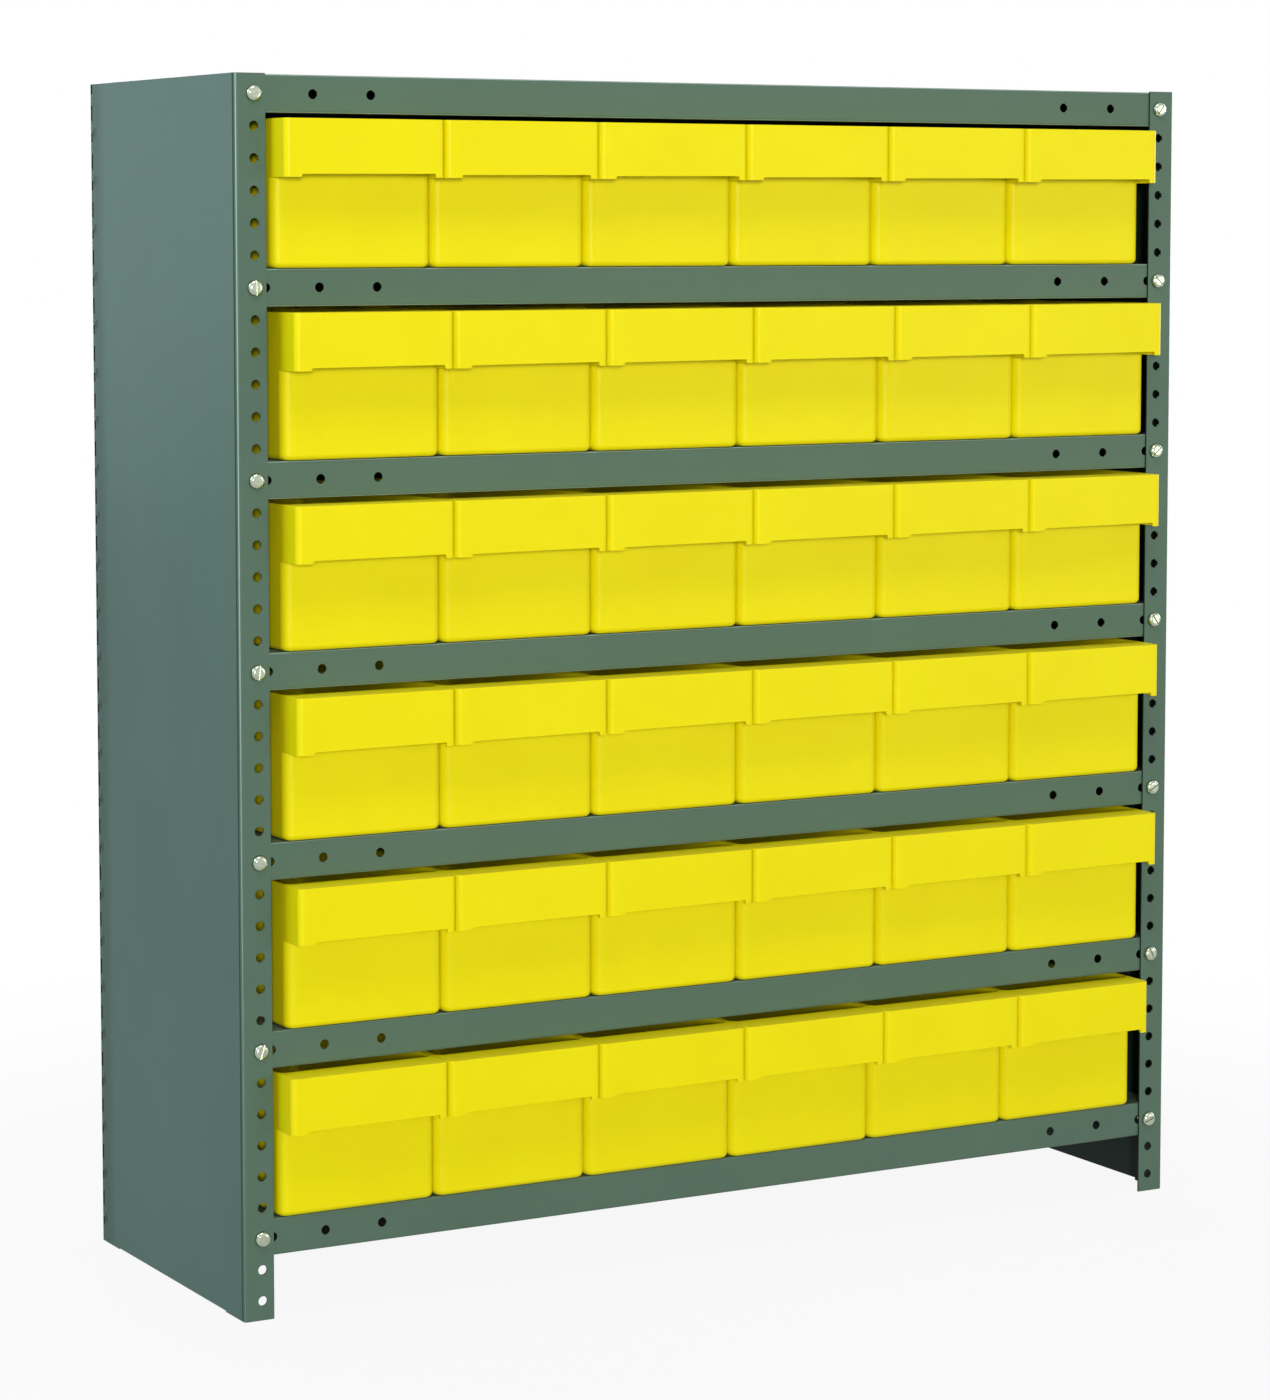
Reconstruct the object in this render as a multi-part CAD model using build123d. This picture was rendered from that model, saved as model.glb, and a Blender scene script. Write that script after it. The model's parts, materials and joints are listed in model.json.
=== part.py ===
from build123d import *
from math import cos, radians, sin
import os

# A closed steel shelving unit: perforated angle posts, box-formed shelves, side and back panels,
# and rows of moulded drawers that slide on the shelves. Millimetres, +Z up, the front faces -Y.
# The origin is on the floor, at the centre of the whole unit's box.

# Driving sizes of the unit
INCH = 25.4
UNIT_WIDTH = 36 * INCH
UNIT_DEPTH = 12 * INCH
SHELF_COUNT = 7
HOLES_PER_SHELF = 6
HOLES_BELOW_SHELVES = 2
DRAWER_COLUMNS = 6

# Posts: bent angles with a line of holes down the face
HOLE_PITCH = 1 * INCH
HOLE_END = 0.625 * INCH
HOLE_INSET = 17.0
POST_SHEET = 1.9
POST_FACE = 27.0
POST_SIDE = 1.5 * INCH
POST_INNER_BEND = 1.1

# Shelves: a deck with lips all round, slotted and punched along the front
SHELF_SHEET = 0.9
SHELF_LIP = 30.2
SHELF_RETURN = 10.0
SHELF_INNER_BEND = 1.1
SHELF_END_CLEARANCE = 0.5
LIP_SLOT = 22.0
LIP_SLOT_OFFSET = 3.0
LIP_HOLE_INSET = 73.7
LIP_HOLE_PITCH = 2 * INCH
TOP_SHELF_HOLE_SHIFT = 4.8

# Panels: the sides lie outside the posts, the back lies between the rear posts and the shelves
PANEL_SHEET = 0.9
PANEL_LIFT = 1.6
SIDE_FRONT_SETBACK = 0.5
SIDE_REAR_SETBACK = 2.0
BACK_BEND_CLEARANCE = 0.4

# Bolts and nuts
BOLT_SIZE = 6.35
BOLT_LENGTH = 12.7
BOLT_HOLE_CLEARANCE = 1.55
HEAD_OVERLAP = 4.3
HEAD_HEIGHT = 4.0
HEAD_SLOPE = 28
NUT_WALLS = 4.75
NUT_HEIGHT = 5.5
THREAD_CLEARANCE = 0.1

# Drawers: how they sit in their row, and their moulded form
DRAWER_GAP = 1.3
ROW_LEFT_ROOM = 12.65
ROW_RIGHT_ROOM = 3.05
ROW_STAGGER = 7.6
GLIDE_CLEARANCE = 0.3
HEADROOM = 4.4
REAR_ROOM = 33.2
BODY_PROUD = 1.1
DRAWER_WALL = 2.3
DRAWER_FLOOR = 2.5
BODY_INNER_CORNER = 5.7
HOOD_REACH = 25.4
HOOD_DROP = 43.8
HOOD_INNER_CORNER = 2.7
TAB_DROP = 2.4
TAB_LEFT = 14.0
TAB_RIGHT = 8.0
APRON_RISE = 0.8

# How many flats stand for a quarter turn, outside and inside a wall
OUTER_FLAT_COUNT = 2
INNER_FLAT_COUNT = 1

# Sizes worked out from the driving sizes
DRAWER_ROWS = SHELF_COUNT - 1
HOLE_COUNT = HOLES_BELOW_SHELVES + DRAWER_ROWS * HOLES_PER_SHELF + 1
POST_HEIGHT = (HOLE_COUNT - 1) * HOLE_PITCH + 2 * HOLE_END
POST_BEND = POST_INNER_BEND + POST_SHEET
HOLE_SIZE = BOLT_SIZE + BOLT_HOLE_CLEARANCE
HOLE_X = UNIT_WIDTH / 2 - HOLE_INSET
HOLE_LEVELS = [HOLE_END + hole * HOLE_PITCH for hole in range(HOLE_COUNT)]
BOLT_LEVELS = HOLE_LEVELS[HOLES_BELOW_SHELVES::HOLES_PER_SHELF]

SHELF_WIDTH = UNIT_WIDTH - 2 * (PANEL_SHEET + POST_SHEET + SHELF_END_CLEARANCE)
SHELF_DEPTH = UNIT_DEPTH - 2 * POST_SHEET - PANEL_SHEET

ROW_WIDTH = UNIT_WIDTH - 2 * POST_FACE - ROW_LEFT_ROOM - ROW_RIGHT_ROOM
DRAWER_PITCH = (ROW_WIDTH + DRAWER_GAP) / DRAWER_COLUMNS
DRAWER_WIDTH = DRAWER_PITCH - DRAWER_GAP
DRAWER_HEIGHT = HOLES_PER_SHELF * HOLE_PITCH - SHELF_LIP - GLIDE_CLEARANCE - HEADROOM
BODY_LENGTH = BODY_PROUD + POST_SHEET + SHELF_DEPTH - REAR_ROOM
BODY_CORNER = BODY_INNER_CORNER + DRAWER_WALL
HOOD_CORNER = HOOD_INNER_CORNER + DRAWER_WALL
HOOD_OUT = BODY_PROUD + HOOD_REACH

FRONT = HOOD_OUT - (HOOD_OUT + UNIT_DEPTH + HEAD_HEIGHT) / 2
REAR = FRONT + UNIT_DEPTH
SHELF_FRONT = FRONT + POST_SHEET
SHELF_REAR = SHELF_FRONT + SHELF_DEPTH


def quarter(x, y, radius, start, flats):
    """Points of a quarter turn about (x, y) from the start angle, drawn with a few flats."""
    angles = [radians(start + 90 * step / flats) for step in range(flats + 1)]
    return [(x + radius * cos(angle), y + radius * sin(angle)) for angle in angles]


def eased_rectangle(width, length, radius, flats):
    """A rectangle about the origin with its corners eased by a few flats each."""
    x = width / 2 - radius
    y = length / 2 - radius
    turns = [(x, y, 0), (-x, y, 90), (-x, -y, 180), (x, -y, 270)]
    points = [point for cx, cy, start in turns for point in quarter(cx, cy, radius, start, flats)]
    return Polygon(points, align=None)


def eased_front(width, front, back, radius, flats):
    """A rectangle from the front line to the back line, with only its front corners eased."""
    x = width / 2 - radius
    left = quarter(-x, front + radius, radius, 180, flats)
    right = quarter(x, front + radius, radius, 270, flats)
    return Polygon(left + right + [(width / 2, back), (-width / 2, back)], align=None)


def punched(x, level, length=HOLE_SIZE):
    """The eight-sided outline of a punched hole, or of a slot of that length."""
    outline = Rectangle(length, HOLE_SIZE)
    corner_cut = HOLE_SIZE * (1 - cos(radians(45)))
    return Pos(x, level) * chamfer(outline.vertices(), corner_cut)


def punch_through(sheet, outlines, y):
    """Cuts outlines, drawn as seen from the front, through an upright sheet that lies near y."""
    tool = extrude(Sketch() + outlines, 2 * POST_SHEET, both=True)
    return sheet - Location((0, y, 0), (90, 0, 0)) * tool


def angle_post(holes):
    """The front left post: a bent angle with these holes punched down its face."""
    face = POST_FACE - PANEL_SHEET
    outer_bend = quarter(POST_BEND, POST_BEND, POST_BEND, 180, OUTER_FLAT_COUNT)
    inner_bend = quarter(POST_BEND, POST_BEND, POST_INNER_BEND, 180, OUTER_FLAT_COUNT)
    front_edge = [(face, 0), (face, POST_SHEET)]
    side_edge = [(POST_SHEET, POST_SIDE), (0, POST_SIDE)]
    section = Polygon(outer_bend + front_edge + inner_bend[::-1] + side_edge, align=None)
    post = Pos(PANEL_SHEET - UNIT_WIDTH / 2, FRONT) * extrude(section, POST_HEIGHT)
    return punch_through(post, holes, FRONT)


def shelf(level, hole_shift):
    """A box-formed shelf: a deck with lips all round and a return along the front and back lips."""
    inner_width = SHELF_WIDTH - 2 * SHELF_SHEET
    inner_depth = SHELF_DEPTH - 2 * SHELF_SHEET
    outline = eased_rectangle(SHELF_WIDTH, SHELF_DEPTH, SHELF_INNER_BEND + SHELF_SHEET, INNER_FLAT_COUNT)
    hollow = eased_rectangle(inner_width, inner_depth, SHELF_INNER_BEND, INNER_FLAT_COUNT)
    returns = hollow - Rectangle(inner_width, inner_depth - 2 * SHELF_RETURN)
    pan = extrude(outline, SHELF_LIP) - extrude(hollow, SHELF_LIP - SHELF_SHEET)
    pan += extrude(returns, SHELF_SHEET)
    pan = Pos(0, (SHELF_FRONT + SHELF_REAR) / 2, level - SHELF_LIP / 2) * pan
    front = []
    for side in (-1, 1):
        slot_inset = HOLE_INSET + LIP_SLOT_OFFSET - hole_shift
        front.append(punched(side * (UNIT_WIDTH / 2 - slot_inset), level, LIP_SLOT))
        for hole_inset in (LIP_HOLE_INSET, LIP_HOLE_INSET + LIP_HOLE_PITCH):
            front.append(punched(side * (UNIT_WIDTH / 2 - hole_inset + hole_shift), level))
    rear = [punched(side * HOLE_X, level) for side in (-1, 1)]
    return punch_through(punch_through(pan, front, SHELF_FRONT), rear, SHELF_REAR)


def side_panel():
    """The left side panel, a little short of the posts' bends and of the floor."""
    front = FRONT + POST_BEND + SIDE_FRONT_SETBACK
    rear = REAR - POST_BEND - SIDE_REAR_SETBACK
    panel = Box(PANEL_SHEET, rear - front, POST_HEIGHT - PANEL_LIFT, align=Align.MIN)
    return Pos(-UNIT_WIDTH / 2, front, PANEL_LIFT) * panel


def back_panel():
    """The back panel, clamped between the rear posts and the rear lips of the shelves."""
    width = UNIT_WIDTH - 2 * (PANEL_SHEET + POST_BEND + BACK_BEND_CLEARANCE)
    standing = (Align.CENTER, Align.MIN, Align.MIN)
    panel = Box(width, PANEL_SHEET, POST_HEIGHT - PANEL_LIFT, align=standing)
    bolt_holes = [punched(side * HOLE_X, level) for side in (-1, 1) for level in BOLT_LEVELS]
    return punch_through(Pos(0, SHELF_REAR, PANEL_LIFT) * panel, bolt_holes, SHELF_REAR)


def bolt():
    """A bolt pointing along +Y with the seat of its low round head at the origin."""
    head = extrude(RegularPolygon((HOLE_SIZE + HEAD_OVERLAP) / 2, 8), HEAD_HEIGHT, taper=HEAD_SLOPE)
    shank = extrude(RegularPolygon(BOLT_SIZE / 2, 6), -BOLT_LENGTH)
    return Rot(90, 0, 0) * (head + shank)


def nut():
    """A hexagon nut on the Y axis, reaching back from its seat at the origin."""
    outline = RegularPolygon((BOLT_SIZE + NUT_WALLS) / 2, 6, major_radius=False)
    outline -= RegularPolygon(BOLT_SIZE / 2 + THREAD_CLEARANCE, 6)
    return Rot(90, 0, 0) * extrude(outline, -NUT_HEIGHT)


def at_shelf_corners(fastener, y, facing):
    """Copies of a fastener at the bolted corners of every shelf, along +Y or turned about."""
    corners = [(side * HOLE_X, y, level) for side in (-1, 1) for level in BOLT_LEVELS]
    return Compound([Location(corner, (0, 0, facing)) * fastener for corner in corners])


def drawer():
    """A moulded drawer with a hooded pull, its front face on y = 0 and its underside on z = 0.

    The pull is a ledge level with the rim, an apron hanging from the ledge and an end wall at each
    side, open below for the fingers. The apron's lower edge runs between two tabs, rising a little
    to the right.
    """
    middle = Pos(0, BODY_LENGTH / 2)
    inner_width = DRAWER_WIDTH - 2 * DRAWER_WALL
    inner_length = BODY_LENGTH - 2 * DRAWER_WALL
    outline = middle * eased_rectangle(DRAWER_WIDTH, BODY_LENGTH, BODY_CORNER, OUTER_FLAT_COUNT)
    hollow = middle * eased_rectangle(inner_width, inner_length, BODY_INNER_CORNER, INNER_FLAT_COUNT)

    hood_low = DRAWER_HEIGHT - HOOD_DROP - TAB_DROP
    hood_front = -HOOD_REACH
    hood_plan = eased_front(DRAWER_WIDTH, hood_front, BODY_CORNER, HOOD_CORNER, OUTER_FLAT_COUNT)
    finger_front = hood_front + DRAWER_WALL
    finger_plan = eased_front(inner_width, finger_front, BODY_CORNER, HOOD_INNER_CORNER, INNER_FLAT_COUNT)
    hood = extrude(hood_plan, HOOD_DROP + TAB_DROP)
    hood -= extrude(finger_plan, HOOD_DROP + TAB_DROP - DRAWER_WALL)

    left = TAB_LEFT - DRAWER_WIDTH / 2
    right = DRAWER_WIDTH / 2 - TAB_RIGHT
    edge = [(right, TAB_DROP + APRON_RISE), (left, TAB_DROP)]
    below_apron = Polygon([(left, 0), (right, 0)] + edge, align=None)
    hood -= Rot(90, 0, 0) * extrude(below_apron, HOOD_REACH)

    body = extrude(outline, DRAWER_HEIGHT) + Pos(0, 0, hood_low) * hood
    return body - Pos(0, 0, DRAWER_FLOOR) * extrude(hollow, DRAWER_HEIGHT)


def drawer_place(row, column):
    """Where a drawer sits: rows count down from the top, columns from the left."""
    stagger = ROW_STAGGER if row in (1, DRAWER_ROWS) else 0
    row_left = POST_FACE - UNIT_WIDTH / 2 + ROW_LEFT_ROOM - stagger
    x = row_left + DRAWER_WIDTH / 2 + (column - 1) * DRAWER_PITCH
    z = BOLT_LEVELS[DRAWER_ROWS - row] + SHELF_LIP / 2 + GLIDE_CLEARANCE
    return Pos(x, FRONT - BODY_PROUD, z)


def assembly():
    """Every piece of the unit by name."""
    across = Plane.YZ
    front_to_back = Plane.XZ.offset(-(FRONT + REAR) / 2)
    foot_hole = Pos(-HOLE_X, HOLE_LEVELS[0]) * Circle(HOLE_SIZE / 2)
    front_left = angle_post([foot_hole] + [punched(-HOLE_X, level) for level in HOLE_LEVELS[1:]])
    rear_left = angle_post([punched(-HOLE_X, level) for level in BOLT_LEVELS]).mirror(front_to_back)
    left_side = side_panel()
    parts = {
        "post_front_left": front_left,
        "post_front_right": front_left.mirror(across),
        "post_rear_left": rear_left,
        "post_rear_right": rear_left.mirror(across),
        "side_panel_left": left_side,
        "side_panel_right": left_side.mirror(across),
        "back_panel": back_panel(),
        "front_bolts": at_shelf_corners(bolt(), FRONT, 0),
        "rear_bolts": at_shelf_corners(bolt(), REAR, 180),
        "front_nuts": at_shelf_corners(nut(), SHELF_FRONT + SHELF_SHEET, 0),
        "rear_nuts": at_shelf_corners(nut(), SHELF_REAR - SHELF_SHEET, 180),
    }
    for number, level in enumerate(reversed(BOLT_LEVELS), start=1):
        hole_shift = TOP_SHELF_HOLE_SHIFT if number == 1 else 0
        parts[f"shelf_{number}"] = shelf(level, hole_shift)
    one_drawer = drawer()
    for row in range(1, DRAWER_ROWS + 1):
        for column in range(1, DRAWER_COLUMNS + 1):
            parts[f"drawer_r{row}_c{column}"] = drawer_place(row, column) * one_drawer
    return parts


os.makedirs("parts", exist_ok=True)
for name, part in assembly().items():
    export_step(part, f"parts/{name}.step")
print(f"drawer {DRAWER_WIDTH:.1f} x {BODY_LENGTH + HOOD_REACH:.1f} x {DRAWER_HEIGHT:.1f}")
print(f"posts {POST_HEIGHT:.2f} high, holes {HOLE_SIZE:.2f}, front at y = {FRONT:.2f}")
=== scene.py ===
# %% [markdown]
# # A closed steel shelving unit with moulded drawers
#
# Perforated angle posts carry a stack of box-formed shelves, sheet panels close the sides and the
# back, and yellow moulded drawers stand in rows on the shelves. The construction is loaded first,
# as a fixed frame at its real size. Every visible piece is then modelled over the node that it
# stands for, so nothing has to be fitted afterwards. All sizes are in metres.

# %% Load the construction
import json
from math import cos, degrees, pi, radians

import bmesh
import bpy
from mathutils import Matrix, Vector


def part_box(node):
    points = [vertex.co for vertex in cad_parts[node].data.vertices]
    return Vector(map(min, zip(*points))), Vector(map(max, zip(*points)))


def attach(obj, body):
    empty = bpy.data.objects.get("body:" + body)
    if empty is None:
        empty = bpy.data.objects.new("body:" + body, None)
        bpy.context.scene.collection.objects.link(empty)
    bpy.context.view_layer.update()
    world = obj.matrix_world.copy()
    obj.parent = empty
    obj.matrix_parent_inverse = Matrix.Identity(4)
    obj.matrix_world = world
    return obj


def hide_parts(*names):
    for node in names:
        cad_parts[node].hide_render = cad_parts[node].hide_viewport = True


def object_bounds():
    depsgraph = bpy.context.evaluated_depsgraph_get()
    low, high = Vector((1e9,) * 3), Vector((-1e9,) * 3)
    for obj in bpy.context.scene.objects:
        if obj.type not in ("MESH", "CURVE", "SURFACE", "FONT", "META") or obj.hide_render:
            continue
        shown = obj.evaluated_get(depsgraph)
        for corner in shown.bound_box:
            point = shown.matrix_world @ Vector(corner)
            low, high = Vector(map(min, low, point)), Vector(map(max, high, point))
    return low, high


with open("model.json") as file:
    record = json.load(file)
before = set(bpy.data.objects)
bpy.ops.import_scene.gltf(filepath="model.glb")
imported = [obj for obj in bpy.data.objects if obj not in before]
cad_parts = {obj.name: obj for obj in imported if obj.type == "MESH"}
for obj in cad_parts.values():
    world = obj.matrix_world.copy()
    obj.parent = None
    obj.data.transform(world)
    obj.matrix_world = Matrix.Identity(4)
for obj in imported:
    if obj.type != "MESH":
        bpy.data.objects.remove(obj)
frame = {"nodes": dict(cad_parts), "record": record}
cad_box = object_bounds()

MM = 0.001
print("nodes in the frame:", len(frame["nodes"]))
print("box of the frame in mm:", [round(v / MM, 1) for corner in cad_box for v in corner])

# %% [markdown]
# ## The camera
#
# The picture was taken from the front left with a long lens. Its upright edges stay parallel, so
# the lens was shifted down rather than tilted. A full shift would push the unit out of the frame in
# every other view, so the camera here has a small shift and tilts down for the rest. Its place was
# solved from the corners of the unit in the picture.

# %% Place the camera
CAMERA_PLACE = Vector((-1.7160, -3.0100, 0.8742))
CAMERA_YAW = radians(29.44)
CAMERA_TILT = radians(4.763)
CAMERA_LENS = 101.9
CAMERA_SHIFT = -0.10

bpy.ops.object.camera_add(location=CAMERA_PLACE, rotation=(pi / 2 - CAMERA_TILT, 0, -CAMERA_YAW))
camera = bpy.context.object
camera.name = "picture_camera"
camera.data.lens = CAMERA_LENS
camera.data.shift_y = CAMERA_SHIFT
bpy.context.scene.camera = camera
print("camera looks", round(degrees(CAMERA_YAW), 1), "degrees to the right of straight on")

# %% [markdown]
# ## Working by hand, in code
#
# Modelling by hand is a round of three moves: add a primitive, select a part of it, and run a tool
# on what is selected. Each move gets its helpers. The first ones add a primitive at its real size and
# place, so that no scale is left on the piece to upset the tools that follow.

# %% Helpers for adding


def select_only(*pieces):
    """Leaves these pieces selected, the first of them active."""
    bpy.ops.object.select_all(action="DESELECT")
    for piece in pieces:
        piece.select_set(True)
    bpy.context.view_layer.objects.active = pieces[0]


def start(primitive, name, scale=(1, 1, 1), **how):
    """Adds a primitive at its size and place, and opens it in edit mode."""
    bpy.ops.object.select_all(action="DESELECT")
    getattr(bpy.ops.mesh, f"primitive_{primitive}_add")(**how)
    piece = bpy.context.object
    piece.name = name
    piece.data.name = name
    piece.scale = scale
    bpy.ops.object.transform_apply(location=True, rotation=True, scale=True)
    bpy.ops.object.mode_set(mode="EDIT")
    return piece


def block(name, low, high):
    """A cube stretched between two corners, open in edit mode."""
    low, high = Vector(low), Vector(high)
    return start("cube", name, size=1, location=(low + high) / 2, scale=high - low)


def done():
    """Closes edit mode."""
    bpy.ops.object.mode_set(mode="OBJECT")


print("made helpers that add a piece and open it for editing")

# %% [markdown]
# A place or a direction picks the faces, edges or points. That reads like pointing at them, and it
# survives a change of size, which a list of numbered faces would not.

# %% Helpers for selecting
NEAR = 0.02 * MM
ALONG = 0.9


def open_mesh(mode):
    """Sets the selection mode, clears the selection and gives the mesh that is being edited."""
    bpy.ops.mesh.select_mode(type=mode)
    bpy.ops.mesh.select_all(action="DESELECT")
    return bmesh.from_edit_mesh(bpy.context.edit_object.data)


def keep_selection(mesh):
    """Shows the selection to the tools that follow."""
    mesh.select_flush_mode()
    bmesh.update_edit_mesh(bpy.context.edit_object.data)


def pick_faces(test):
    """Selects the faces whose middle and normal pass the test."""
    mesh = open_mesh("FACE")
    for face in mesh.faces:
        face.select_set(test(face.calc_center_median(), face.normal))
    keep_selection(mesh)


def pick_edges(test):
    """Selects the edges whose middle and direction pass the test."""
    mesh = open_mesh("EDGE")
    for edge in mesh.edges:
        first, last = (vertex.co for vertex in edge.verts)
        edge.select_set(test((first + last) / 2, (last - first).normalized()))
    keep_selection(mesh)


def pick_points(test):
    """Selects the points whose place passes the test."""
    mesh = open_mesh("VERT")
    for vertex in mesh.verts:
        vertex.select_set(test(vertex.co))
    keep_selection(mesh)


def near(a, b):
    """Whether two lengths are the same within a hair."""
    return abs(a - b) < NEAR


def upright(direction):
    """Whether a direction runs up or down."""
    return abs(direction.z) > ALONG


print("made helpers that select; lengths are the same within", NEAR / MM, "mm")

# %% [markdown]
# Four tools do nearly all of the shaping: bevel, extrude, move, and a straight slice through the
# whole mesh, which adds points where the shape is to change.

# %% Helpers for shaping


def bevel(width, segments):
    """Rounds the selected edges."""
    bpy.ops.mesh.bevel(offset=width, offset_type="OFFSET", segments=segments, profile=0.5,
                       affect="EDGES", clamp_overlap=False)


def extrude(x=0, y=0, z=0):
    """Pulls the selection out into new faces."""
    bpy.ops.mesh.extrude_region_move(TRANSFORM_OT_translate={"value": (x, y, z)})


def move(x=0, y=0, z=0):
    """Moves the selection."""
    bpy.ops.transform.translate(value=(x, y, z))


def slice_at(place, normal):
    """Cuts a line of edges round the whole mesh on a plane."""
    bpy.ops.mesh.select_all(action="SELECT")
    bpy.ops.mesh.bisect(plane_co=place, plane_no=normal)


print("made helpers that shape what is selected")

# %% [markdown]
# Thickness, small edge radii and punched holes come from modifiers, which are applied at once so
# that each piece ends as a plain mesh. Soft shading needs care on formed sheet: the weighted normals
# keep the flats flat and put the whole turn of the light into the bends.

# %% Helpers for modifiers, cutting and copying
SOFT_SEGMENTS = 2
SOFT_ANGLE = radians(50)
SMOOTH_ANGLE = radians(35)


def modify(piece, kind, **settings):
    """Adds a modifier, sets it and applies it."""
    select_only(piece)
    bpy.ops.object.modifier_add(type=kind)
    modifier = piece.modifiers[-1]
    for name, value in settings.items():
        setattr(modifier, name, value)
    bpy.ops.object.modifier_apply(modifier=modifier.name)


def combine(piece, tool, operation):
    """Joins a tool to a piece, or cuts it out, and throws the tool away."""
    modify(piece, "BOOLEAN", operation=operation, object=tool, solver="MANIFOLD")
    bpy.data.objects.remove(tool)


def soften(piece, width):
    """Takes the sharpness off the edges of a piece."""
    modify(piece, "BEVEL", width=width, segments=SOFT_SEGMENTS, limit_method="ANGLE",
           angle_limit=SOFT_ANGLE, use_clamp_overlap=False)


def shade(piece):
    """Smooth shading across the bends, with the flats kept flat."""
    select_only(piece)
    bpy.ops.object.shade_smooth_by_angle(angle=SMOOTH_ANGLE)
    modify(piece, "WEIGHTED_NORMAL", keep_sharp=True)


def copy_of(piece, name, offset, turn=(0, 0, 0)):
    """A copy with its own mesh, turned about the origin and moved, with its place in its mesh."""
    select_only(piece)
    bpy.ops.object.duplicate(linked=False)
    twin = bpy.context.object
    twin.name = name
    twin.data.name = name
    twin.rotation_euler = turn
    twin.location = offset
    bpy.ops.object.transform_apply(location=True, rotation=True, scale=True)
    return twin


print("made helpers that change whole pieces, smooth up to", round(degrees(SMOOTH_ANGLE)), "degrees")

# %% [markdown]
# ## Shader maths as sums
#
# A finish is a small network of nodes. The class below wraps a socket, so that an expression such
# as `1 - mask * 0.2` adds the Math nodes by itself, and one method adds any other node.

# %% A socket that can be used in sums


class Wire:
    """A socket of a node tree, for use in expressions."""

    def __init__(self, tree, socket=None):
        self.tree = tree
        self.socket = socket

    def add(self, kind, settings=None, sockets=None, output=0):
        """Adds a node: its settings are set first, then its sockets get values or links."""
        node = self.tree.nodes.new(kind)
        for name, value in (settings or {}).items():
            setattr(node, name, value)
        for name, value in (sockets or {}).items():
            if isinstance(value, Wire):
                self.tree.links.new(value.socket, node.inputs[name])
            else:
                node.inputs[name].default_value = value
        return Wire(self.tree, node.outputs[output])

    def maths(self, operation, first, second):
        """A Math node on two values."""
        return self.add("ShaderNodeMath", {"operation": operation}, {0: first, 1: second})

    def __add__(self, other):
        return self.maths("ADD", self, other)

    def __radd__(self, other):
        return self.maths("ADD", other, self)

    def __sub__(self, other):
        return self.maths("SUBTRACT", self, other)

    def __rsub__(self, other):
        return self.maths("SUBTRACT", other, self)

    def __mul__(self, other):
        return self.maths("MULTIPLY", self, other)

    def __rmul__(self, other):
        return self.maths("MULTIPLY", other, self)


print("a", Wire.__name__, "stands for a socket in sums")

# %% [markdown]
# Every finish starts from the same shader. Constant values are set on its sockets, and what varies is
# fed in by wires. The noise is measured in the piece's own space, so its grain has a real size and
# moves with the piece.

# %% Helpers for finishes


def linear(red, green, blue):
    """A colour as seen on a screen, from 0 to 255, as the renderer's linear colour."""
    seen = (value / 255 for value in (red, green, blue))
    return (*(v / 12.92 if v < 0.04045 else ((v + 0.055) / 1.055) ** 2.4 for v in seen), 1)


def new_finish(name, **constants):
    """A material with a Principled shader that has these constant values on its sockets."""
    material = bpy.data.materials.new(name)
    material.use_nodes = True
    shader = material.node_tree.nodes["Principled BSDF"]
    for socket, value in constants.items():
        shader.inputs[socket.replace("_", " ")].default_value = value
    return material, Wire(material.node_tree), shader


def feed(shader, **wires):
    """Links wires to sockets of a shader."""
    for socket, wire in wires.items():
        wire.tree.links.new(wire.socket, shader.inputs[socket.replace("_", " ")])


def noise(wire, scale, detail, roughness=0.5):
    """A grey noise in the object's own space, so many cells to the metre."""
    place = wire.add("ShaderNodeTexCoord", output="Object")
    return wire.add("ShaderNodeTexNoise", None, {
        "Vector": place, "Scale": scale, "Detail": detail, "Roughness": roughness})


def blend_colours(wire, share, first, second):
    """A colour between two, by a share."""
    return wire.add("ShaderNodeMix", {"data_type": "RGBA"},
                    {0: share, 6: first, 7: second}, output=2)


def bump(wire, height, depth, strength):
    """A normal bent by a height from 0 to 1 that is worth this many metres."""
    return wire.add("ShaderNodeBump", None, {"Height": height, "Distance": depth, "Strength": strength})


print("middle grey on a screen is", round(linear(128, 128, 128)[0], 3), "in linear light")

# %% [markdown]
# ## The enamel
#
# The steel is sprayed and baked in a satin grey-green enamel. Close up it has the fine orange peel of
# sprayed paint, and over a whole panel its shade drifts a little. A flat colour would look like
# plastic, so the drift goes into the colour and the gloss, and the peel goes into the bump.
#
# Light and shade are partly painted into the colour. The bends get a pale painted highlight, more so
# higher up, and painted shade darkens the inside of the unit, the dimples of the side panels and their
# rear edge. A bend is found by its normal, which leans between two axes there. A face looks inwards
# where its normal points back to the middle, and the dimples and the rear edge are found by their place.

# %% Find where light and shade are painted on the enamel
# The painted highlight on the bends: the lean where it starts and is full, the height from which it is
# full, and its share at the floor
BEND_STARTS = cos(radians(31))
BEND_FULL = cos(radians(41))
HIGHLIGHT_FULL_HEIGHT = 0.7
LOW_HIGHLIGHT = 0.15
LOOKS_IN = -0.05
# Shares of painted shade: on inward faces, in the dimples, and along the panels' rear edge
INSIDE_PAINTED_SHADE = 0.88
DIMPLE_PAINTED_SHADE = 0.5
EDGE_PAINTED_SHADE = 0.3
EDGE_PAINTED_SHADE_STARTS = 34 * MM
EDGE_PAINTED_SHADE_FULL = 12 * MM
SUNK = 0.06 * MM

panel_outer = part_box("side_panel_right")[1].x
panel_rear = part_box("side_panel_right")[1].y


def part_of(wire, source, axis):
    """One axis of the object's own coordinates or normals."""
    return wire.add("ShaderNodeSeparateXYZ", None,
                    {0: wire.add("ShaderNodeTexCoord", output=source)}, output=axis)


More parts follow.
